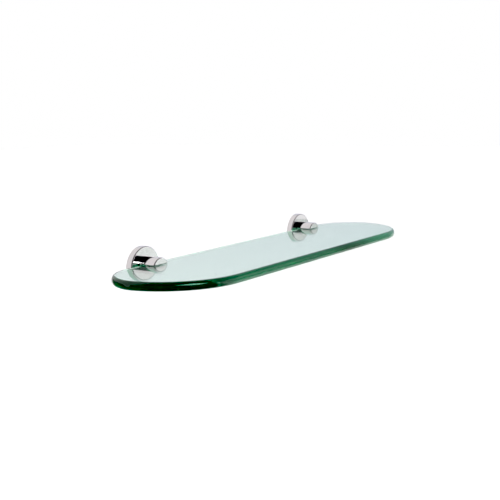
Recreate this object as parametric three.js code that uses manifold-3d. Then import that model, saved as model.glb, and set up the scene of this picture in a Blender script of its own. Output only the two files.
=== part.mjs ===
// Glass wall shelf: a toughened pane with rounded ends, held at its back edge in the
// slots of two round chrome posts. Each post is screwed to a round wall plate, and a
// cup-shaped rosette covers the plate.
// Millimetres. The wall is the plane y = 0 and the shelf stands out along -Y, +X runs
// along the wall and +Z is up. The origin lies on the wall, midway between the
// brackets, at the height of the middle of the glass.
import * as THREE from "three";
import { mergeVertices } from "three/addons/utils/BufferGeometryUtils.js";
import Module from "manifold-3d";

// Driving dimensions
const fitGap = 0.25; // left between two pieces that touch on the real shelf
const bracketSpacing = 335; // between the axes of the two posts

const glass = {
  length: 520,
  depth: 133,
  thickness: 10,
  frontCornerRadius: 88,
  backCornerRadius: 57,
  noseRadius: 40, // joins the two corner arcs at each end
  edgeRound: 4, // how far the ground edge bulges past the flat faces
};
const rosette = {
  radius: 24.5,
  depth: 8.4,
  rimThickness: 2.5,
  faceThickness: 1.8,
  edgeRadius: 1.2,
};
const post = { radius: 13.3, reach: 22.6, edgeChamfer: 1.3 };
const stem = { radius: 9, flatHalfWidth: 7.5 }; // the post's keyed root, inside the rosette
const plate = { radius: 21.5, thickness: 4.8, grooveDepth: 1, grooveHalfWidth: 1.6 };
const slotFloorInset = 1; // from the rosette's face to the bottom of the post's slot
const liner = { halfWidth: 11, thickness: 0.6, setback: 0.6 };
const pad = { radius: 3, thickness: 1.6 };
const clampScrew = { radius: 2.5, length: 5, socketAcrossFlats: 2.5, socketDepth: 2 };
const clampTravel = 1.6;
const postScrew = {
  radius: 2.5,
  headRadius: 4.25,
  headThickness: 1.7,
  recess: 0.1,
  engagement: 3.1,
  socketAcrossFlats: 3,
  socketDepth: 1.2,
};
const washer = { outerRadius: 4.4, thickness: 0.5 };
const grubScrew = {
  radius: 1.5,
  tipRadius: 0.25,
  recess: 0.5,
  socketAcrossFlats: 1.5,
  socketDepth: 1.2,
};
const wallHole = { radius: 2.3, halfSlot: 2, offset: 13 }; // for the wall screws

// Places that follow from them
const glassTop = glass.thickness / 2;
const rosetteFace = -rosette.depth;
const postBase = rosetteFace - fitGap;
const postEnd = rosetteFace - post.reach;
const slotFloor = rosetteFace - slotFloorInset;
const glassBack = slotFloor - fitGap;
const plateFace = -plate.thickness;
const stemEnd = plateFace - fitGap;
const slotHalfHeight = glassTop + liner.thickness + 2 * fitGap;
const clampY = (slotFloor + postEnd) / 2;
const grubY = plateFace / 2;

const roundSides = 40; // facets round a rosette, a post or a wall plate
const screwSides = 20;
const roundingSteps = 3; // facets across a rounded edge
const runOut = 1; // how far a cutting tool runs past the face it cuts

const looks = {
  glass: { color: 0xcfe6df, roughness: 0.03, metalness: 0, transparent: true, opacity: 0.4 },
  chrome: { color: 0xd8d9dc, roughness: 0.06, metalness: 1 },
  zinc: { color: 0x9fa19c, roughness: 0.5, metalness: 1 },
  screws: { color: 0xa9abab, roughness: 0.42, metalness: 1 },
  liner: { color: 0xe4ebe8, roughness: 0.35, metalness: 0, transparent: true, opacity: 0.6 },
  nylon: { color: 0xeeeae0, roughness: 0.55, metalness: 0 },
};

// Booleans
const wasm = await Module();
wasm.setup();

function solid(geometry) {
  const bare = geometry.clone();
  bare.deleteAttribute("normal");
  bare.deleteAttribute("uv");
  const merged = mergeVertices(bare, 1e-4);
  return new wasm.Manifold(
    new wasm.Mesh({
      numProp: 3,
      vertProperties: merged.attributes.position.array,
      triVerts: new Uint32Array(merged.index.array),
    }),
  );
}

function geometryOf(shape) {
  const mesh = shape.getMesh();
  const geometry = new THREE.BufferGeometry();
  geometry.setAttribute("position", new THREE.BufferAttribute(mesh.vertProperties, 3));
  geometry.setIndex(new THREE.BufferAttribute(mesh.triVerts, 1));
  geometry.computeVertexNormals();
  return geometry;
}

// A body turned about the Y axis from an outline of [radius, y] points, listed so that
// the material lies on the left of the path.
function turned(outline, sides) {
  const points = outline.map(([radius, y]) => new THREE.Vector2(radius, y));
  return new THREE.LatheGeometry(points, sides);
}

function rodY(radius, yLow, yHigh, sides) {
  const rod = new THREE.CylinderGeometry(radius, radius, yHigh - yLow, sides);
  return rod.translate(0, (yLow + yHigh) / 2, 0);
}

function rodZ(radius, zLow, zHigh, sides, y = 0) {
  const rod = new THREE.CylinderGeometry(radius, radius, zHigh - zLow, sides);
  return rod.rotateX(Math.PI / 2).translate(0, y, (zLow + zHigh) / 2);
}

function box(xHalf, yLow, yHigh, zLow, zHigh) {
  const block = new THREE.BoxGeometry(2 * xHalf, yHigh - yLow, zHigh - zLow);
  return block.translate(0, (yLow + yHigh) / 2, (zLow + zHigh) / 2);
}

const hexRadius = (acrossFlats) => acrossFlats / Math.sqrt(3);

// A round bar along Y with two flats, left and right.
function keyedRod(radius, flatHalfWidth, yLow, yHigh) {
  const flats = box(flatHalfWidth, yLow, yHigh, -2 * radius, 2 * radius);
  return solid(rodY(radius, yLow, yHigh, roundSides)).intersect(solid(flats));
}

// Points of a quarter circle from startAngle, for an outline of [radius, y] points.
function quarterArc(centreRadius, centreY, arcRadius, startAngle) {
  return Array.from({ length: roundingSteps + 1 }, (_, step) => {
    const angle = startAngle + (step / roundingSteps) * (Math.PI / 2);
    return [centreRadius + arcRadius * Math.cos(angle), centreY + arcRadius * Math.sin(angle)];
  });
}

// The centre of the nose arc, which touches the two corner arcs from inside: the
// outer of the two points at the right distances from both corner centres.
function noseCentre(frontCentre, backCentre) {
  const toFront = glass.frontCornerRadius - glass.noseRadius;
  const toBack = glass.backCornerRadius - glass.noseRadius;
  const between = backCentre.clone().sub(frontCentre);
  const distance = between.length();
  const along = (toFront ** 2 - toBack ** 2 + distance ** 2) / (2 * distance);
  const aside = Math.sqrt(toFront ** 2 - along ** 2);
  const direction = between.divideScalar(distance);
  const sideways = new THREE.Vector2(-direction.y, direction.x);
  return frontCentre.clone().addScaledVector(direction, along).addScaledVector(sideways, aside);
}

// The pane's outline, its back edge on y = 0. Each end is three tangent arcs: a tighter
// one at the back corner, the nose, and a wider one at the front corner.
function glassOutline() {
  const front = new THREE.Vector2(0, glass.frontCornerRadius - glass.depth);
  const back = new THREE.Vector2(
    glass.frontCornerRadius - glass.backCornerRadius,
    -glass.backCornerRadius,
  );
  const nose = noseCentre(front, back);
  const shift = glass.length / 2 - glass.noseRadius - nose.x;
  [front, back, nose].forEach((centre) => (centre.x += shift));
  const backAngle = nose.clone().sub(back).angle();
  const frontAngle = nose.clone().sub(front).angle() - 2 * Math.PI;
  const quarter = Math.PI / 2;

  const outline = new THREE.Shape();
  outline.moveTo(-front.x, -glass.depth);
  outline.lineTo(front.x, -glass.depth);
  outline.absarc(front.x, front.y, glass.frontCornerRadius, -quarter, frontAngle);
  outline.absarc(nose.x, nose.y, glass.noseRadius, frontAngle, backAngle);
  outline.absarc(back.x, back.y, glass.backCornerRadius, backAngle, quarter);
  outline.lineTo(-back.x, 0);
  outline.absarc(-back.x, back.y, glass.backCornerRadius, quarter, Math.PI - backAngle);
  outline.absarc(-nose.x, nose.y, glass.noseRadius, Math.PI - backAngle, Math.PI - frontAngle);
  outline.absarc(-front.x, front.y, glass.frontCornerRadius, Math.PI - frontAngle, 3 * quarter);
  return outline;
}

// The pane: the two flat faces meet in a shallow rounded edge all the way round, with
// only a narrow upright band left at its middle.
function glassPane() {
  const middleBand = 1;
  const bevel = (glass.thickness - middleBand) / 2;
  const pane = new THREE.ExtrudeGeometry(glassOutline(), {
    depth: middleBand,
    curveSegments: 8,
    bevelThickness: bevel,
    bevelSize: glass.edgeRound,
    bevelOffset: -glass.edgeRound,
    bevelSegments: roundingSteps,
  });
  return geometryOf(solid(pane.translate(0, glassBack, -middleBand / 2)));
}

// The cup over the wall plate, with a keyed hole for the stem and, underneath, the
// tapped hole of its grub screw.
function rosetteCup() {
  const { radius, depth, rimThickness, faceThickness, edgeRadius } = rosette;
  const inside = radius - rimThickness;
  const outline = [
    [0, -depth],
    ...quarterArc(radius - edgeRadius, -depth + edgeRadius, edgeRadius, -Math.PI / 2),
    [radius, 0],
    [inside, 0],
    [inside, -depth + faceThickness],
    [0, -depth + faceThickness],
  ];
  const holeRadius = stem.radius + fitGap;
  const holeFlat = stem.flatHalfWidth + fitGap;
  const keyedHole = keyedRod(holeRadius, holeFlat, -depth - runOut, -depth + faceThickness + runOut);
  const tapped = rodZ(grubScrew.radius + fitGap, -radius - runOut, -inside + runOut, screwSides, grubY);
  return solid(turned(outline, roundSides)).subtract(keyedHole).subtract(solid(tapped));
}

// The post: a chamfered round bar cut by a level slot for the glass. Its keyed stem
// reaches back to the wall plate and is tapped for the post screw. Under the slot a
// stepped hole takes the clamp pad and, below it, the clamp screw.
function slottedPost() {
  const { radius, edgeChamfer } = post;
  const bar = turned(
    [
      [0, postEnd],
      [radius - edgeChamfer, postEnd],
      [radius, postEnd + edgeChamfer],
      [radius, postBase],
      [0, postBase],
    ],
    roundSides,
  );
  const overlap = 0.2; // the stem is buried this far in the bar that it is one piece with
  const root = keyedRod(stem.radius, stem.flatHalfWidth, postBase - overlap, stemEnd);
  const slot = box(radius + runOut, postEnd - runOut, slotFloor, -slotHalfHeight, slotHalfHeight);
  const screwHole = rodY(
    postScrew.radius + fitGap,
    stemEnd - postScrew.engagement - fitGap,
    stemEnd + runOut,
    screwSides,
  );
  const padSeat = -glassTop - pad.thickness - clampTravel - 2 * fitGap;
  const padHole = rodZ(pad.radius + fitGap, padSeat, -slotHalfHeight + runOut, screwSides, clampY);
  const clampHole = rodZ(
    clampScrew.radius + fitGap,
    -radius - runOut,
    padSeat + runOut,
    screwSides,
    clampY,
  );
  return [slot, screwHole, padHole, clampHole].reduce(
    (shape, cut) => shape.subtract(solid(cut)),
    solid(bar).add(root),
  );
}

// The round plate on the wall: a groove round its rim for the grub screw's tip, a
// counterbore from behind for the post screw's head, and two slots for wall screws.
function wallPlate() {
  const { radius, thickness, grooveDepth, grooveHalfWidth } = plate;
  const holeRadius = postScrew.radius + fitGap;
  const counterboreRadius = washer.outerRadius + fitGap;
  const counterboreFloor =
    -postScrew.recess - postScrew.headThickness - washer.thickness - 2 * fitGap;
  const outline = [
    [holeRadius, -thickness],
    [radius, -thickness],
    [radius, grubY - grooveHalfWidth],
    [radius - grooveDepth, grubY],
    [radius, grubY + grooveHalfWidth],
    [radius, 0],
    [counterboreRadius, 0],
    [counterboreRadius, counterboreFloor],
    [holeRadius, counterboreFloor],
    [holeRadius, -thickness],
  ];
  return [-wallHole.offset, wallHole.offset].reduce(
    (shape, x) => shape.subtract(solid(wallSlot(x))),
    solid(turned(outline, roundSides)),
  );
}

// The cutter of one upright slot through the wall plate, centred at x.
function wallSlot(x) {
  const slot = new THREE.Shape();
  slot.absarc(0, wallHole.halfSlot, wallHole.radius, 0, Math.PI);
  slot.absarc(0, -wallHole.halfSlot, wallHole.radius, Math.PI, 2 * Math.PI);
  const depth = plate.thickness + 2 * runOut;
  const cutter = new THREE.ExtrudeGeometry(slot, { depth, bevelEnabled: false, curveSegments: 5 });
  return cutter.rotateX(Math.PI / 2).translate(x, runOut, 0);
}

// The screw through the wall plate into the stem, its head flush with the wall.
function postScrewBody() {
  const { radius, headRadius, headThickness, recess, engagement } = postScrew;
  const outline = [
    [0, stemEnd - engagement],
    [radius, stemEnd - engagement],
    [radius, -recess - headThickness],
    [headRadius, -recess - headThickness],
    [headRadius, -recess],
    [0, -recess],
  ];
  const socketDepth = postScrew.socketDepth;
  const socket = rodY(hexRadius(postScrew.socketAcrossFlats), -recess - socketDepth, runOut, 6);
  return solid(turned(outline, screwSides)).subtract(solid(socket));
}

function lockWasher() {
  const front = -postScrew.recess - postScrew.headThickness - fitGap - washer.thickness;
  const bore = postScrew.radius + fitGap;
  const outline = [
    [bore, front],
    [washer.outerRadius, front],
    [washer.outerRadius, front + washer.thickness],
    [bore, front + washer.thickness],
    [bore, front],
  ];
  return solid(turned(outline, screwSides));
}

// The grub screw that holds the rosette: its cone sits in the wall plate's groove and
// its hex socket opens under the rosette.
function rosetteGrubScrew() {
  const { radius, tipRadius, recess, socketAcrossFlats, socketDepth } = grubScrew;
  const outerEnd = -rosette.radius + recess;
  const tip = -plate.radius + plate.grooveDepth - fitGap;
  const outline = [
    [0, outerEnd],
    [radius, outerEnd],
    [radius, tip - (radius - tipRadius)],
    [tipRadius, tip],
    [0, tip],
  ];
  const screw = turned(outline, screwSides).rotateX(Math.PI / 2).translate(0, grubY, 0);
  const socket = rodZ(
    hexRadius(socketAcrossFlats),
    outerEnd - runOut,
    outerEnd + socketDepth,
    6,
    grubY,
  );
  return solid(screw).subtract(solid(socket));
}

// The grub screw under the post that presses the pad up against the glass.
function clampScrewBody() {
  const { radius, length, socketAcrossFlats, socketDepth } = clampScrew;
  const top = -glassTop - pad.thickness - 2 * fitGap;
  const bottom = top - length;
  const socket = rodZ(
    hexRadius(socketAcrossFlats),
    bottom - runOut,
    bottom + socketDepth,
    6,
    clampY,
  );
  return solid(rodZ(radius, bottom, top, screwSides, clampY)).subtract(solid(socket));
}

function clampPad() {
  const top = -glassTop - fitGap;
  return solid(rodZ(pad.radius, top - pad.thickness, top, screwSides, clampY));
}

// A flat strip between the glass and one side of the slot: side is 1 above, -1 below.
function linerStrip(side) {
  const near = glassTop + fitGap;
  const [low, high] = [side * near, side * (near + liner.thickness)].sort((a, b) => a - b);
  return solid(box(liner.halfWidth, postEnd + liner.setback, glassBack, low, high));
}

function lowerLiner() {
  const padHole = rodZ(
    pad.radius + fitGap,
    -slotHalfHeight - runOut,
    -glassTop + runOut,
    screwSides,
    clampY,
  );
  return linerStrip(-1).subtract(solid(padHole));
}

function named(name, geometry, look) {
  const mesh = new THREE.Mesh(geometry, new THREE.MeshStandardMaterial(looks[look]));
  mesh.name = name;
  return mesh;
}

const shelf = new THREE.Group();
shelf.add(named("glass_shelf", glassPane(), "glass"));

const bracketPieces = [
  ["rosette", rosetteCup, "chrome"],
  ["post", slottedPost, "chrome"],
  ["wall_plate", wallPlate, "zinc"],
  ["post_screw", postScrewBody, "screws"],
  ["lock_washer", lockWasher, "screws"],
  ["rosette_grub_screw", rosetteGrubScrew, "screws"],
  ["clamp_screw", clampScrewBody, "screws"],
  ["clamp_pad", clampPad, "nylon"],
  ["upper_liner", () => linerStrip(1), "liner"],
  ["lower_liner", lowerLiner, "liner"],
];
for (const [side, x] of [
  ["left", -bracketSpacing / 2],
  ["right", bracketSpacing / 2],
]) {
  const bracket = new THREE.Group();
  bracket.position.x = x;
  for (const [piece, make, look] of bracketPieces) {
    bracket.add(named(`${side}_${piece}`, geometryOf(make()), look));
  }
  shelf.add(bracket);
}

export default shelf;
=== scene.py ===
"""Looks for the glass wall shelf: a pane with rounded ends, clamped in two slotted
chrome posts on round rosettes.

Metres, in the CAD frame: the wall is y = 0, +X runs along it and +Z is up.
"""
import math

import bmesh
import bpy
from mathutils import Euler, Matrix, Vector


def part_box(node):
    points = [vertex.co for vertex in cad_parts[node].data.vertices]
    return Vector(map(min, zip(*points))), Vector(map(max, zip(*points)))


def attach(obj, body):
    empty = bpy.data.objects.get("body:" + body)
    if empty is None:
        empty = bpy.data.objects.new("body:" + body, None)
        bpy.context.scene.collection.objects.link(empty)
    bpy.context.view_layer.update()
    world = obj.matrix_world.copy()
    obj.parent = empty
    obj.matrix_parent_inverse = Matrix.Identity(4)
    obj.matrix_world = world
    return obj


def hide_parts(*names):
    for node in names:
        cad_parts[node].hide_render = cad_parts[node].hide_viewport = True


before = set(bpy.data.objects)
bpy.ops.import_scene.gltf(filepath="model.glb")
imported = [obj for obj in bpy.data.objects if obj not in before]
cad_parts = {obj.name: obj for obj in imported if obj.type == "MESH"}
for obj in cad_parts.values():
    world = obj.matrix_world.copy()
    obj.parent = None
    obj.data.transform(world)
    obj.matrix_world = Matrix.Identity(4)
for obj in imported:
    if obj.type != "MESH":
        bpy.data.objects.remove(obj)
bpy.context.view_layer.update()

MM = 0.001
SIDES = ("left", "right")

# Shape details that a node's box doesn't give
FRONT_CORNER_RADIUS = 88 * MM
BACK_CORNER_RADIUS = 57 * MM
NOSE_RADIUS = 40 * MM
GLASS_EDGE_ROUND = 4.0 * MM
ROSETTE_EDGE_RADIUS = 1.2 * MM
ROSETTE_REAR_RADIUS = 0.3 * MM
ROSETTE_RIM = 2.5 * MM
ROSETTE_FACE = 1.8 * MM
POST_EDGE_RADIUS = 1.3 * MM
SLOT_EDGE_RADIUS = 0.25 * MM
SLOT_FLOOR_INSET = 1.0 * MM
STEM_RADIUS = 9 * MM
STEM_FLAT = 7.5 * MM
PAD_TRAVEL = 1.6 * MM
POST_SCREW_RADIUS = 2.5 * MM
FIT_GAP = 0.25 * MM

CUT_PAST = 1 * MM  # how far a cutter reaches past what it cuts
JOIN_DEPTH = 0.2 * MM  # how far two bodies that become one overlap

ROUND_SIDES = 144
SCREW_SIDES = 48
EDGE_STEPS = 8
REAR_EDGE_STEPS = 3
SLOT_EDGE_STEPS = 3
CORNER_STEPS = 40
GLASS_EDGE_STEPS = 32
CREASE_ANGLE = math.radians(28)
SLOT_EDGE_ANGLE = math.radians(35)
SAME_LEVEL = 1e-6  # metres


# ---------------------------------------------------------------- mesh helpers


def mesh_object(name, bm):
    """A scene object from a bmesh, which it frees."""
    mesh = bpy.data.meshes.new(name)
    bmesh.ops.recalc_face_normals(bm, faces=bm.faces)
    bm.to_mesh(mesh)
    bm.free()
    obj = bpy.data.objects.new(name, mesh)
    bpy.context.scene.collection.objects.link(obj)
    return obj


def bake(obj, modifier):
    """Applies one modifier to obj's mesh."""
    depsgraph = bpy.context.evaluated_depsgraph_get()
    changed = bpy.data.meshes.new_from_object(obj.evaluated_get(depsgraph))
    obj.modifiers.remove(modifier)
    old = obj.data
    obj.data = changed
    bpy.data.meshes.remove(old)


def crease(obj):
    """Smooth faces, with an edge sharp where its faces meet at more than CREASE_ANGLE. The
    normals follow the larger faces, so that flat faces stay flat up to their rounded edges."""
    bm = bmesh.new()
    bm.from_mesh(obj.data)
    for face in bm.faces:
        face.smooth = True
    for edge in bm.edges:
        edge.smooth = edge.is_manifold and edge.calc_face_angle() < CREASE_ANGLE
    bm.to_mesh(obj.data)
    bm.free()
    modifier = obj.modifiers.new("weights", "WEIGHTED_NORMAL")
    modifier.keep_sharp = True
    bake(obj, modifier)


def arc(centre, radius, start, end, steps):
    """Points of an arc in a plane, from angle start to angle end."""
    angles = [start + (end - start) * i / steps for i in range(steps + 1)]
    return [
        (centre[0] + radius * math.cos(a), centre[1] + radius * math.sin(a)) for a in angles
    ]


def turned(outline, centre):
    """A body turned about an axis along Y through centre, from [radius, y] points that start
    and end on the axis."""
    bm = bmesh.new()
    rings = []
    for radius, y in outline:
        if radius == 0:
            rings.append([bm.verts.new((centre.x, y, centre.z))] * ROUND_SIDES)
            continue
        ring = []
        for i in range(ROUND_SIDES):
            a = 2 * math.pi * i / ROUND_SIDES
            x, z = radius * math.cos(a), radius * math.sin(a)
            ring.append(bm.verts.new((centre.x + x, y, centre.z + z)))
        rings.append(ring)
    for low, high in zip(rings, rings[1:]):
        for i in range(ROUND_SIDES):
            j = (i + 1) % ROUND_SIDES
            # At the axis two of the corners are one point, which leaves a triangle
            corners = dict.fromkeys((low[i], low[j], high[j], high[i]))
            bm.faces.new(list(corners))
    return bm


def rounded_front(radius, y, edge_radius):
    """Outline points of a round body's front edge, at radius from its axis and in front at y."""
    centre = (radius - edge_radius, y + edge_radius)
    return arc(centre, edge_radius, -math.pi / 2, 0, EDGE_STEPS)


def rod(radius, start, end, sides=SCREW_SIDES):
    """A plain round bar between two points."""
    bm = bmesh.new()
    axis = end - start
    turn = axis.to_track_quat("Z", "Y").to_matrix().to_4x4()
    turn.translation = (start + end) / 2
    bmesh.ops.create_cone(
        bm,
        cap_ends=True,
        segments=sides,
        radius1=radius,
        radius2=radius,
        depth=axis.length,
        matrix=turn,
    )
    return bm


def block(low, high):
    """A box between two corners."""
    bm = bmesh.new()
    bmesh.ops.create_cube(bm, size=1)
    size = high - low
    for v in bm.verts:
        v.co = Vector((low[i] + (v.co[i] + 0.5) * size[i] for i in range(3)))
    return bm


def boolean(obj, cutter_bm, operation="DIFFERENCE"):
    """Cuts obj's mesh with another closed mesh, or keeps what they share."""
    cutter = mesh_object("cutter", cutter_bm)
    modifier = obj.modifiers.new("cut", "BOOLEAN")
    modifier.operation = operation
    modifier.solver = "EXACT"
    modifier.object = cutter
    bake(obj, modifier)
    bpy.data.objects.remove(cutter)


def bevel(obj, chosen, radius, segments):
    """Rounds the edges of obj for which chosen(edge) is true."""
    bm = bmesh.new()
    bm.from_mesh(obj.data)
    edges = [e for e in bm.edges if e.is_manifold and chosen(e)]
    bmesh.ops.bevel(
        bm,
        geom=edges,
        offset=radius,
        segments=segments,
        profile=0.5,
        affect="EDGES",
        clamp_overlap=True,
    )
    bm.to_mesh(obj.data)
    bm.free()


# ---------------------------------------------------------------- materials


class Nodes:
    """A material's or a world's node tree, with short ways to add and link nodes."""

    def __init__(self, owner):
        self.tree = owner.node_tree
        self.tree.nodes.clear()

    def add(self, kind, inputs=None, **settings):
        """A new node, with values or links for its inputs and values for its settings."""
        node = self.tree.nodes.new("ShaderNode" + kind)
        for key, value in settings.items():
            setattr(node, key, value)
        for key, value in (inputs or {}).items():
            self.put(node, key, value)
        return node

    def put(self, node, key, value):
        """Links a socket or a node's first output to an input, or sets the input's value."""
        socket = node.inputs[key]
        if isinstance(value, bpy.types.NodeSocket):
            self.tree.links.new(value, socket)
        elif isinstance(value, bpy.types.Node):
            self.tree.links.new(value.outputs[0], socket)
        else:
            socket.default_value = value

    def noise(self, vector, scale, detail, roughness=0.55):
        return self.add(
            "TexNoise",
            {"Vector": vector, "Scale": scale, "Detail": detail, "Roughness": roughness},
        )

    def calculate(self, operation, first, second):
        return self.add("Math", {0: first, 1: second}, operation=operation)

    def span(self, value, low, high, from_low=0.3, from_high=0.7):
        """Stretches from_low to from_high, where most of a noise lies, onto low to high."""
        return self.add(
            "MapRange",
            {
                "Value": value,
                "From Min": from_low,
                "From Max": from_high,
                "To Min": low,
                "To Max": high,
            },
        )

    def position(self, scale=(1, 1, 1)):
        """Object coordinates, stretched by scale."""
        coordinates = self.add("TexCoord")
        mapping = self.add("Mapping", {"Vector": coordinates.outputs["Object"], "Scale": scale})
        return mapping.outputs[0]

    def blend_colours(self, factor, first, second, blend_type="MIX"):
        """Mixes two colours or colour sockets by factor."""
        mix = self.add("Mix", data_type="RGBA", blend_type=blend_type)
        self.put(mix, 0, factor)
        self.put(mix, 6, first)
        self.put(mix, 7, second)
        return mix.outputs[2]

    def bump(self, height, strength, distance):
        return self.add("Bump", {"Height": height, "Strength": strength, "Distance": distance})

    def output(self, surface, volume=None):
        out = self.add("OutputMaterial", {"Surface": surface})
        if volume is not None:
            self.put(out, "Volume", volume)


def new_material(name):
    material = bpy.data.materials.new(name)
    material.use_nodes = True
    return material, Nodes(material)


def chrome_material():
    """Polished plating: nearly a mirror, with wiped haze and faint ripples."""
    material, n = new_material("polished_chrome")
    haze = n.noise(n.position(), 90, 5)
    wipe = n.noise(n.position((1, 0.25, 1)), 900, 2)
    ripple = n.noise(n.position(), 160, 2)
    roughness = n.calculate("ADD", n.span(haze, 0.025, 0.065), n.span(wipe, 0.0, 0.02))
    colour = n.blend_colours(n.span(haze, 0, 1), (0.84, 0.835, 0.84, 1), (0.79, 0.785, 0.79, 1))
    shader = n.add(
        "BsdfPrincipled",
        {
            "Base Color": colour,
            "Metallic": 1.0,
            "Roughness": roughness,
            "Normal": n.bump(ripple, 0.04, 0.2 * MM),
        },
    )
    n.output(shader)
    return material


def glass_material():
    """Float glass: clear, green in long paths, with a faint film on its faces. Its faces also
    glow a faint green: a painted glow that stands in for the light that its thickness scatters."""
    material, n = new_material("green_float_glass")
    film = n.noise(n.position(), 35, 5)
    waviness = n.noise(n.position((1, 1, 4)), 22, 1)
    shader = n.add(
        "BsdfPrincipled",
        {
            "Base Color": (1, 1, 1, 1),
            "Roughness": n.span(film, 0.0, 0.018, 0.45, 0.75),
            "IOR": 1.52,
            "Transmission Weight": 1.0,
            "Normal": n.bump(waviness, 0.02, 0.2 * MM),
            # Painted green glow on the glass faces, in place of light scattered inside the glass
            "Emission Color": (0, 1, 0.55, 1),
            "Emission Strength": 0.006,
        },
    )
    material.cycles.emission_sampling = "NONE"
    absorption = n.add("VolumeAbsorption", {"Color": (0.0, 0.56, 0.33, 1), "Density": 18.5})
    n.output(shader, absorption)
    return material


def zinc_material():
    """Zinc-plated pressed steel: dull, mottled, slightly pitted."""
    material, n = new_material("zinc_plated_steel")
    mottle = n.noise(n.position(), 260, 6, 0.65)
    grain = n.noise(n.position(), 2600, 3)
    colour = n.blend_colours(n.span(mottle, 0, 1), (0.5, 0.51, 0.49, 1), (0.66, 0.67, 0.66, 1))
    shader = n.add(
        "BsdfPrincipled",
        {
            "Base Color": colour,
            "Metallic": 1.0,
            "Roughness": n.span(mottle, 0.32, 0.5),
            "Normal": n.bump(grain, 0.25, 0.03 * MM),
        },
    )
    n.output(shader)
    return material


def screw_material():
    """Stainless steel as it comes off the lathe: fine turning marks."""
    material, n = new_material("turned_stainless")
    marks = n.noise(n.position(), 1500, 3)
    stain = n.noise(n.position(), 320, 3)
    colour = n.blend_colours(n.span(stain, 0, 1), (0.5, 0.5, 0.5, 1), (0.62, 0.62, 0.61, 1))
    shader = n.add(
        "BsdfPrincipled",
        {
            "Base Color": colour,
            "Metallic": 1.0,
            "Roughness": n.span(marks, 0.22, 0.38),
            "Normal": n.bump(marks, 0.2, 0.02 * MM),
        },
    )
    n.output(shader)
    return material


def liner_material():
    """Clear soft plastic, a little hazy."""
    material, n = new_material("clear_soft_plastic")
    haze = n.noise(n.position(), 420, 4)
    colour = n.blend_colours(n.span(haze, 0, 1), (0.8, 0.86, 0.83, 1), (0.9, 0.93, 0.91, 1))
    shader = n.add(
        "BsdfPrincipled",
        {
            "Base Color": colour,
            "Roughness": n.span(haze, 0.12, 0.3),
            "IOR": 1.46,
            "Transmission Weight": 0.9,
            "Normal": n.bump(haze, 0.1, 0.05 * MM),
        },
    )
    n.output(shader)
    return material


def nylon_material():
    """Natural nylon, off-white and waxy."""
    material, n = new_material("natural_nylon")
    mottle = n.noise(n.position(), 700, 4)
    colour = n.blend_colours(n.span(mottle, 0, 1), (0.8, 0.78, 0.7, 1), (0.88, 0.86, 0.8, 1))
    shader = n.add(
        "BsdfPrincipled",
        {
            "Base Color": colour,
            "Roughness": n.span(mottle, 0.4, 0.6),
            "Subsurface Weight": 0.2,
            "Subsurface Scale": 0.5 * MM,
            "Normal": n.bump(mottle, 0.15, 0.05 * MM),
        },
    )
    n.output(shader)
    return material


CHROME = chrome_material()
GLASS = glass_material()
ZINC = zinc_material()
SCREW = screw_material()
LINER = liner_material()
NYLON = nylon_material()


def finish_piece(obj, node, body, material):
    """Gives a piece its material, hangs it on the body it rides on and hides the CAD node it
    replaces.
    """
    obj.data.materials.clear()
    obj.data.materials.append(material)
    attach(obj, body)
    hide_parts(node)
    return obj


# ---------------------------------------------------------------- the pane


def nose_centre(front, back):
    """Centre of the arc that touches both corner arcs of the +X end from inside."""
    to_front = FRONT_CORNER_RADIUS - NOSE_RADIUS
    to_back = BACK_CORNER_RADIUS - NOSE_RADIUS
    between = back - front
    distance = between.length
    along = (to_front**2 - to_back**2 + distance**2) / (2 * distance)
    aside = math.sqrt(to_front**2 - along**2)
    direction = between / distance
    return front + direction * along + Vector((-direction.y, direction.x)) * aside


def pane_outline(low, high):
    """Points round the pane with the outward direction at each, as (point, direction)."""
    front = Vector((0, low.y + FRONT_CORNER_RADIUS))
    back = Vector((FRONT_CORNER_RADIUS - BACK_CORNER_RADIUS, high.y - BACK_CORNER_RADIUS))
    nose = nose_centre(front, back)
    shift = Vector((high.x - NOSE_RADIUS - nose.x, 0))
    front, back, nose = front + shift, back + shift, nose + shift
    quarter = math.pi / 2
    front_turn = math.atan2(nose.y - front.y, nose.x - front.x)
    back_turn = math.atan2(nose.y - back.y, nose.x - back.x)
    right_end = []
    for centre, radius, start, end in (
        (front, FRONT_CORNER_RADIUS, -quarter, front_turn),
        (nose, NOSE_RADIUS, front_turn, back_turn),
        (back, BACK_CORNER_RADIUS, back_turn, quarter),
    ):
        for i in range(CORNER_STEPS):
            angle = start + (end - start) * i / CORNER_STEPS
            outward = Vector((math.cos(angle), math.sin(angle)))
            right_end.append((centre + outward * radius, outward))
    right_end.append((back + Vector((0, BACK_CORNER_RADIUS)), Vector((0, 1))))
    left_end = [
        (Vector((-point.x, point.y)), Vector((-outward.x, outward.y)))
        for point, outward in reversed(right_end)
    ]
    return right_end + left_end


def glass_pane():
    """The pane: two flat faces and a shallow polished edge all the way round."""
    low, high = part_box("glass_shelf")
    middle, half = (low.z + high.z) / 2, (high.z - low.z) / 2
    outline = pane_outline(low, high)
    bm = bmesh.new()
    normals = []
    rings = []
    for i in range(GLASS_EDGE_STEPS + 1):
        turn = math.pi * i / GLASS_EDGE_STEPS
        out, up = math.sin(turn), math.cos(turn)
        ring = []
        for point, outward in outline:
            place = point + outward * GLASS_EDGE_ROUND * (out - 1)
            ring.append(bm.verts.new((place.x, place.y, middle + half * up)))
            slope = out / GLASS_EDGE_ROUND
            tilt = Vector((outward.x * slope, outward.y * slope, up / half))
            normals.append(tilt.normalized())
        rings.append(ring)
    count = len(outline)
    for upper, lower in zip(rings, rings[1:]):
        for i in range(count):
            j = (i + 1) % count
            bm.faces.new((upper[i], lower[i], lower[j], upper[j]))
    bm.faces.new(rings[0])
    bm.faces.new(list(reversed(rings[-1])))
    for face in bm.faces:
        face.smooth = True
    obj = mesh_object("pane", bm)
    obj.data.normals_split_custom_set_from_vertices(normals)
    return finish_piece(obj, "glass_shelf", "pane", GLASS)


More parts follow.
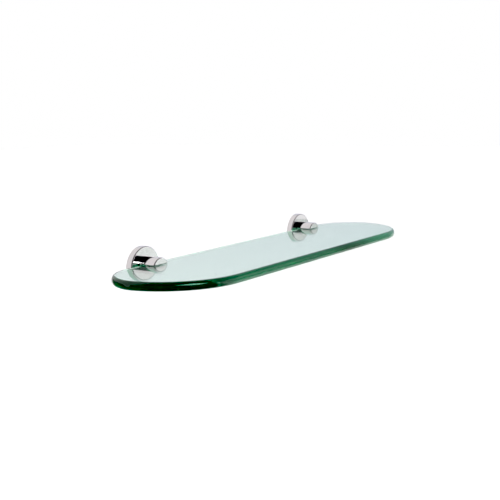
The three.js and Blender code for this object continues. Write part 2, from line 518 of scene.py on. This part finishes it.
# ---------------------------------------------------------------- the brackets


def axis_of(side):
    """A point on the post's axis, at the wall."""
    low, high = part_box(f"{side}_rosette")
    return Vector(((low.x + high.x) / 2, 0, (low.z + high.z) / 2))


def keyed_rod(radius, flat, centre, y_low, y_high):
    """A round bar along Y with a flat on its left and right."""
    start, end = (Vector((centre.x, y, centre.z)) for y in (y_low, y_high))
    obj = mesh_object("keyed", rod(radius, start, end, ROUND_SIDES))
    reach = Vector((flat, CUT_PAST, 2 * radius))
    boolean(obj, block(start - reach, end + reach), "INTERSECT")
    bm = bmesh.new()
    bm.from_mesh(obj.data)
    bpy.data.objects.remove(obj)
    return bm


def rosette(side):
    """The chrome cup: rounded front edge, keyed hole for the stem, grub screw hole."""
    low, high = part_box(f"{side}_rosette")
    centre = axis_of(side)
    radius = (high.z - low.z) / 2
    inside = radius - ROSETTE_RIM
    rear_centre = (radius - ROSETTE_REAR_RADIUS, high.y - ROSETTE_REAR_RADIUS)
    outline = [(0, low.y)]
    outline += rounded_front(radius, low.y, ROSETTE_EDGE_RADIUS)
    outline += arc(rear_centre, ROSETTE_REAR_RADIUS, 0, math.pi / 2, REAR_EDGE_STEPS)
    outline += [(inside, high.y), (inside, low.y + ROSETTE_FACE), (0, low.y + ROSETTE_FACE)]
    obj = mesh_object(f"{side}_rosette_cup", turned(outline, centre))

    y_low, y_high = low.y - CUT_PAST, low.y + ROSETTE_FACE + CUT_PAST
    boolean(obj, keyed_rod(STEM_RADIUS + FIT_GAP, STEM_FLAT + FIT_GAP, centre, y_low, y_high))

    grub_low, grub_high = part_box(f"{side}_rosette_grub_screw")
    grub_y = (grub_low.y + grub_high.y) / 2
    hole_radius = (grub_high.x - grub_low.x) / 2 + FIT_GAP
    start = Vector((centre.x, grub_y, low.z - CUT_PAST))
    end = Vector((centre.x, grub_y, centre.z - inside + CUT_PAST))
    boolean(obj, rod(hole_radius, start, end))
    crease(obj)
    return finish_piece(obj, f"{side}_rosette", "brackets", CHROME)


def on_slot_edge(centre, half_height):
    """Picks the edges where the slot's flat faces meet the post's round side or end."""

    def chosen(edge):
        points = [v.co - centre for v in edge.verts]
        on_plane = all(abs(abs(p.z) - half_height) < SAME_LEVEL for p in points)
        return on_plane and edge.calc_face_angle() > SLOT_EDGE_ANGLE

    return chosen


def slotted_post(side):
    """The chrome post: its jaws above and below the glass, and the stem behind."""
    low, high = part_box(f"{side}_post")
    rosette_low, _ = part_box(f"{side}_rosette")
    centre = axis_of(side)
    radius = (high.z - low.z) / 2
    base = rosette_low.y - FIT_GAP
    outline = [(0, low.y)]
    outline += rounded_front(radius, low.y, POST_EDGE_RADIUS)
    outline += [(radius, base), (0, base)]
    obj = mesh_object(f"{side}_slotted_post", turned(outline, centre))
    root = keyed_rod(STEM_RADIUS, STEM_FLAT, centre, base - JOIN_DEPTH, high.y)
    boolean(obj, root, "UNION")

    # The slot, open at the front, left and right
    _, liner_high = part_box(f"{side}_upper_liner")
    half_height = liner_high.z + FIT_GAP - centre.z
    slot_floor = rosette_low.y - SLOT_FLOOR_INSET
    reach = Vector((2 * radius, 0, half_height))
    front, back = (Vector((centre.x, y, centre.z)) for y in (low.y - CUT_PAST, slot_floor))
    boolean(obj, block(front - reach, back + reach))
    bevel(obj, on_slot_edge(centre, half_height), SLOT_EDGE_RADIUS, SLOT_EDGE_STEPS)

    # The stepped hole below the slot, for the clamp pad and its screw
    pad_low, pad_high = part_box(f"{side}_clamp_pad")
    screw_low, screw_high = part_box(f"{side}_clamp_screw")
    y = (pad_low.y + pad_high.y) / 2
    pad_seat = Vector((centre.x, y, screw_high.z - PAD_TRAVEL))
    slot_side = Vector((centre.x, y, -half_height + CUT_PAST))
    boolean(obj, rod((pad_high.x - pad_low.x) / 2 + FIT_GAP, pad_seat, slot_side))
    under = Vector((centre.x, y, low.z - CUT_PAST))
    screw_top = pad_seat + Vector((0, 0, CUT_PAST))
    boolean(obj, rod((screw_high.x - screw_low.x) / 2 + FIT_GAP, under, screw_top))

    # The hole in the stem for the screw from the wall plate
    tip_low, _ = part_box(f"{side}_post_screw")
    hole_end = Vector((centre.x, tip_low.y - FIT_GAP, centre.z))
    hole_mouth = Vector((centre.x, high.y + CUT_PAST, centre.z))
    boolean(obj, rod(POST_SCREW_RADIUS + FIT_GAP, hole_end, hole_mouth))
    crease(obj)
    return finish_piece(obj, f"{side}_post", "brackets", CHROME)


pane = glass_pane()
chrome_pieces = [make(side) for side in SIDES for make in (rosette, slotted_post)]

# The other CAD nodes keep their shapes and get finer materials
for side in SIDES:
    for piece, material in (
        ("wall_plate", ZINC),
        ("post_screw", SCREW),
        ("lock_washer", SCREW),
        ("rosette_grub_screw", SCREW),
        ("clamp_screw", SCREW),
        ("clamp_pad", NYLON),
        ("upper_liner", LINER),
        ("lower_liner", LINER),
    ):
        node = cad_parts[f"{side}_{piece}"]
        node.data.materials.clear()
        node.data.materials.append(material)


# ---------------------------------------------------------------- studio

CAMERA_PLACE = Vector((-0.9426, -0.6902, 0.1786))
CAMERA_YAW = math.radians(55.22)  # from straight at the wall towards +X
CAMERA_PITCH = math.radians(8.93)  # down from level
CAMERA_ROLL = math.radians(-1.32)
CAMERA_LENS = 66.3
CAMERA_SENSOR = 36
SHELF_MIDDLE = Vector((0, -0.07, 0))
FLOOR_LEVEL = -0.5
FLOOR_HALF_WIDTH = 12.0
CARD_FOOT = FLOOR_LEVEL + 5 * MM
CARD_TOP = 0.6
LOW_CARD_TOP = 0.3
STRIP_HALF_HEIGHT = 0.11
SOFT_EDGE = 0.6  # share of a soft card, from its edge to its middle, over which it fades
BLACK_POINT = 0.025

WHITE = (1, 1, 1, 1)
WARM_GREY = (0.83, 0.79, 0.795, 1)
COOL_GREY = (0.63, 0.66, 0.74, 1)
MIDDLE_GREY = (0.5, 0.5, 0.52, 1)
DARK_GREY = (0.036, 0.035, 0.037, 1)
BRIGHT_WARM = (1.12, 1.02, 1.05, 1)


def camera():
    """The camera of the three-quarter view from the front left."""
    data = bpy.data.cameras.new("camera")
    data.lens = CAMERA_LENS
    data.sensor_width = CAMERA_SENSOR
    data.clip_start = 0.01
    obj = bpy.data.objects.new("camera", data)
    yaw = Euler((0, 0, -CAMERA_YAW)).to_matrix()
    pitch = Euler((math.pi / 2 - CAMERA_PITCH, 0, 0)).to_matrix()
    roll = Euler((0, 0, CAMERA_ROLL)).to_matrix()
    obj.matrix_world = (yaw @ pitch @ roll).to_4x4()
    obj.location = CAMERA_PLACE
    bpy.context.scene.collection.objects.link(obj)
    bpy.context.scene.camera = obj


def floor():
    """A plain pale floor, bright enough to run into the white behind it."""
    bm = bmesh.new()
    bmesh.ops.create_grid(bm, x_segments=1, y_segments=1, size=FLOOR_HALF_WIDTH)
    obj = mesh_object("floor", bm)
    obj.location.z = FLOOR_LEVEL
    material, n = new_material("pale_floor")
    shader = n.add(
        "BsdfPrincipled",
        {
            "Base Color": (0.85, 0.85, 0.85, 1),
            "Roughness": 0.8,
            "Emission Color": WHITE,
            "Emission Strength": 0.7,
        },
    )
    n.output(shader)
    obj.data.materials.append(material)


def card(name, corners, radiance, tint=(1, 1, 1), soft=False, through=False, lit=None):
    """A card of even brightness, or with soft one that fades to its edges. Reflections show it,
    or with through only views through the glass. With lit, only that collection's pieces do."""
    bm = bmesh.new()
    bm.faces.new([bm.verts.new(corner) for corner in corners])
    obj = mesh_object(name, bm)
    material, n = new_material(name)
    strength = radiance
    if soft:
        uv = n.add("TexCoord").outputs["UV"]
        centred = n.add("Mapping", {"Vector": uv, "Location": (-1, -1, 0), "Scale": (2, 2, 1)})
        fade = n.add("TexGradient", {"Vector": centred}, gradient_type="SPHERICAL")
        strength = n.span(fade, 0, radiance, 0, SOFT_EDGE)
        layer = obj.data.uv_layers.new(name="card")
        for loop, corner in zip(layer.data, ((0, 0), (1, 0), (1, 1), (0, 1))):
            loop.uv = corner
    n.output(n.add("Emission", {"Color": (*tint, 1), "Strength": strength}))
    obj.data.materials.append(material)
    obj.visible_camera = False
    obj.visible_glossy = not through
    obj.visible_transmission = through
    obj.visible_diffuse = False
    obj.visible_shadow = False
    obj.light_linking.receiver_collection = lit


def group(name, pieces):
    """A collection of pieces, for cards that only they show."""
    collection = bpy.data.collections.new(name)
    for piece in pieces:
        collection.objects.link(piece)
    return collection


def lying(*points):
    """Corners of a card that lies just above the floor, from [x, y] points."""
    return [(x, y, CARD_FOOT) for x, y in points]


def lying_box(x_low, x_high, y_low, y_high):
    """Corners of a rectangle that lies just above the floor."""
    return lying((x_low, y_low), (x_high, y_low), (x_high, y_high), (x_low, y_high))


def standing(start, end, bottom, top):
    """Corners of an upright rectangle, from the [x, y] points of its two sides."""
    return [(*start, bottom), (*end, bottom), (*end, top), (*start, top)]


def facing(place, width, height):
    """Corners of a rectangle at place that faces the middle of the shelf."""
    forward = (SHELF_MIDDLE - place).normalized()
    aside = forward.cross(Vector((0, 0, 1))).normalized() * width / 2
    up = aside.cross(forward).normalized() * height / 2
    return [place - aside - up, place + aside - up, place + aside + up, place - aside + up]


def studio_cards(pane, chrome_pieces):
    """Cards that polished surfaces reflect besides the tent, or that shine through the glass."""
    pane_only = group("pane_only", [pane])
    chrome_only = group("chrome_only", chrome_pieces)

    # Grey surroundings of the left half, and green light from the floor behind the shelf
    card("grey_left", standing((-2.2, -3.0), (-2.2, 1.0), CARD_FOOT, CARD_TOP), 0.2)
    card("grey_front", standing((-2.2, -3.0), (0.3, -3.0), CARD_FOOT, CARD_TOP), 0.2)
    below = lying((-1.8, -2.0), (0.35, -2.0), (0.2, -0.52), (0.1, 0.1), (-1.8, 0.1))
    card("grey_below", below, 0.25)
    card("grey_back", standing((-1.9, 2.0), (0.4, 2.0), CARD_FOOT, LOW_CARD_TOP), 0.15)
    card("green_below", lying_box(-1.8, 1.2, 0.1, 1.1), 0.46, tint=(0.18, 1, 0.62))
    corner = lying((-2.2, -3.0), (-1.8, -3.0), (-1.8, 1.1), (0.4, 1.1), (0.4, 2.0), (-2.2, 2.0))
    card("grey_corner", corner, 0.15, lit=pane_only)

    # Less light than the floor gives, for the flat chrome faces
    card("pale_middle", lying_box(1.2, 2.6, -3.2, -0.9), 0.8, lit=chrome_only)
    card("pale_right", lying_box(2.6, 4.8, -3.2, -0.9), 0.95, lit=chrome_only)

    # The streak along the pane's curved edge, and the spark in the left rosette
    streak = facing(Vector((-0.72, -1.2, 0.5)), 1.2, 0.66)
    card("softbox_left", streak, 11.0, tint=(0.42, 1, 0.72), soft=True, lit=pane_only)
    spark = [
        (-0.978, -1.017, 0.82),
        (-0.978, -0.993, 0.82),
        (-0.702, -0.993, 1.02),
        (-0.702, -1.017, 1.02),
    ]
    card("spark_left", spark, 18.0, soft=True, lit=chrome_only)

    # Light that shines through the glass from beyond its right end
    for name, near, far in (("strip_near", -1.2, -0.62), ("strip_far", -0.34, 0.15)):
        strip = standing((0.9, near), (0.9, far), -STRIP_HALF_HEIGHT, STRIP_HALF_HEIGHT)
        card(name, strip, 12.0, through=True)


def studio_world():
    """A light tent: pale behind and at the sides, open and dark on the camera's side. The
    camera itself sees plain white."""
    world = bpy.data.worlds.new("studio")
    bpy.context.scene.world = world
    world.use_nodes = True
    n = Nodes(world)
    direction = n.add("TexCoord").outputs["Generated"]
    axes = n.add("SeparateXYZ", {0: direction})
    x, y, z = (axes.outputs[name] for name in "XYZ")

    # How far a direction points to the back. Taking from it on the left, and high up on the
    # right, lets the dark opening reach further round there
    level = n.add("VectorMath", {0: direction, 1: (1, 1, 0)}, operation="MULTIPLY")
    length = n.add("VectorMath", {0: level}, operation="LENGTH").outputs["Value"]
    heading = n.calculate("DIVIDE", y, length)
    right = n.span(x, 0, 1, 0.25, 0.45)
    high_right = n.calculate("MULTIPLY", n.span(z, 0, 0.28, 0.35, 0.5), right)
    turn = n.calculate("ADD", n.span(x, 0.8, 0, -0.3, 0.3), high_right)
    turned_heading = n.calculate("SUBTRACT", heading, turn)

    walls = n.add("ValToRGB", {"Fac": n.span(turned_heading, 0, 1, -1, 1)})
    opening, wall = walls.color_ramp.elements
    opening.position, opening.color = 0.19, DARK_GREY
    wall.position, wall.color = 0.36, WHITE
    walls.color_ramp.elements.new(0.235).color = MIDDLE_GREY
    tint = n.blend_colours(n.span(x, 0, 1, 0.4, 0.9), WARM_GREY, COOL_GREY)
    tent = n.blend_colours(1.0, walls.outputs[0], tint, "MULTIPLY")

    # Low down the opening is grey, lighter towards the right, and bright at the front right
    low = n.span(z, 1, 0, 0.3, 0.42)
    low_fill = n.calculate("MULTIPLY", low, n.span(x, 0.12, 0.45, -0.3, 0.2))
    tent = n.blend_colours(1.0, tent, low_fill, "LIGHTEN")
    front_right = n.calculate("MULTIPLY", right, n.span(heading, 1, 0, -0.6, -0.45))
    low_front = n.calculate("MULTIPLY", n.span(z, 1, 0, 0.2, 0.27), front_right)
    tent = n.blend_colours(low_front, tent, BRIGHT_WARM)

    seen = n.add("LightPath").outputs["Is Camera Ray"]
    shown = n.blend_colours(seen, tent, WHITE)
    background = n.add("Background", {"Color": shown, "Strength": 1.0})
    n.add("OutputWorld", {"Surface": background})


def soft_light(name, place, size, power):
    """A square lamp that faces the middle of the shelf and isn't seen in reflections."""
    data = bpy.data.lights.new(name, "AREA")
    data.size = size
    data.energy = power
    obj = bpy.data.objects.new(name, data)
    obj.location = place
    obj.rotation_euler = (SHELF_MIDDLE - place).to_track_quat("-Z", "Y").to_euler()
    obj.visible_glossy = False
    bpy.context.scene.collection.objects.link(obj)


def picture_settings():
    """A plain tone curve with its black point raised, and paths long enough for thick glass."""
    scene = bpy.context.scene
    scene.view_settings.view_transform = "Standard"
    scene.view_settings.use_curve_mapping = True
    levels = scene.view_settings.curve_mapping
    levels.black_level = (BLACK_POINT,) * 3
    levels.update()
    scene.cycles.max_bounces = 24
    scene.cycles.glossy_bounces = 12
    scene.cycles.transmission_bounces = 24


camera()
floor()
studio_world()
studio_cards(pane, chrome_pieces)
soft_light("key", Vector((-0.6, -0.8, 2.0)), 0.8, 12.0)
picture_settings()
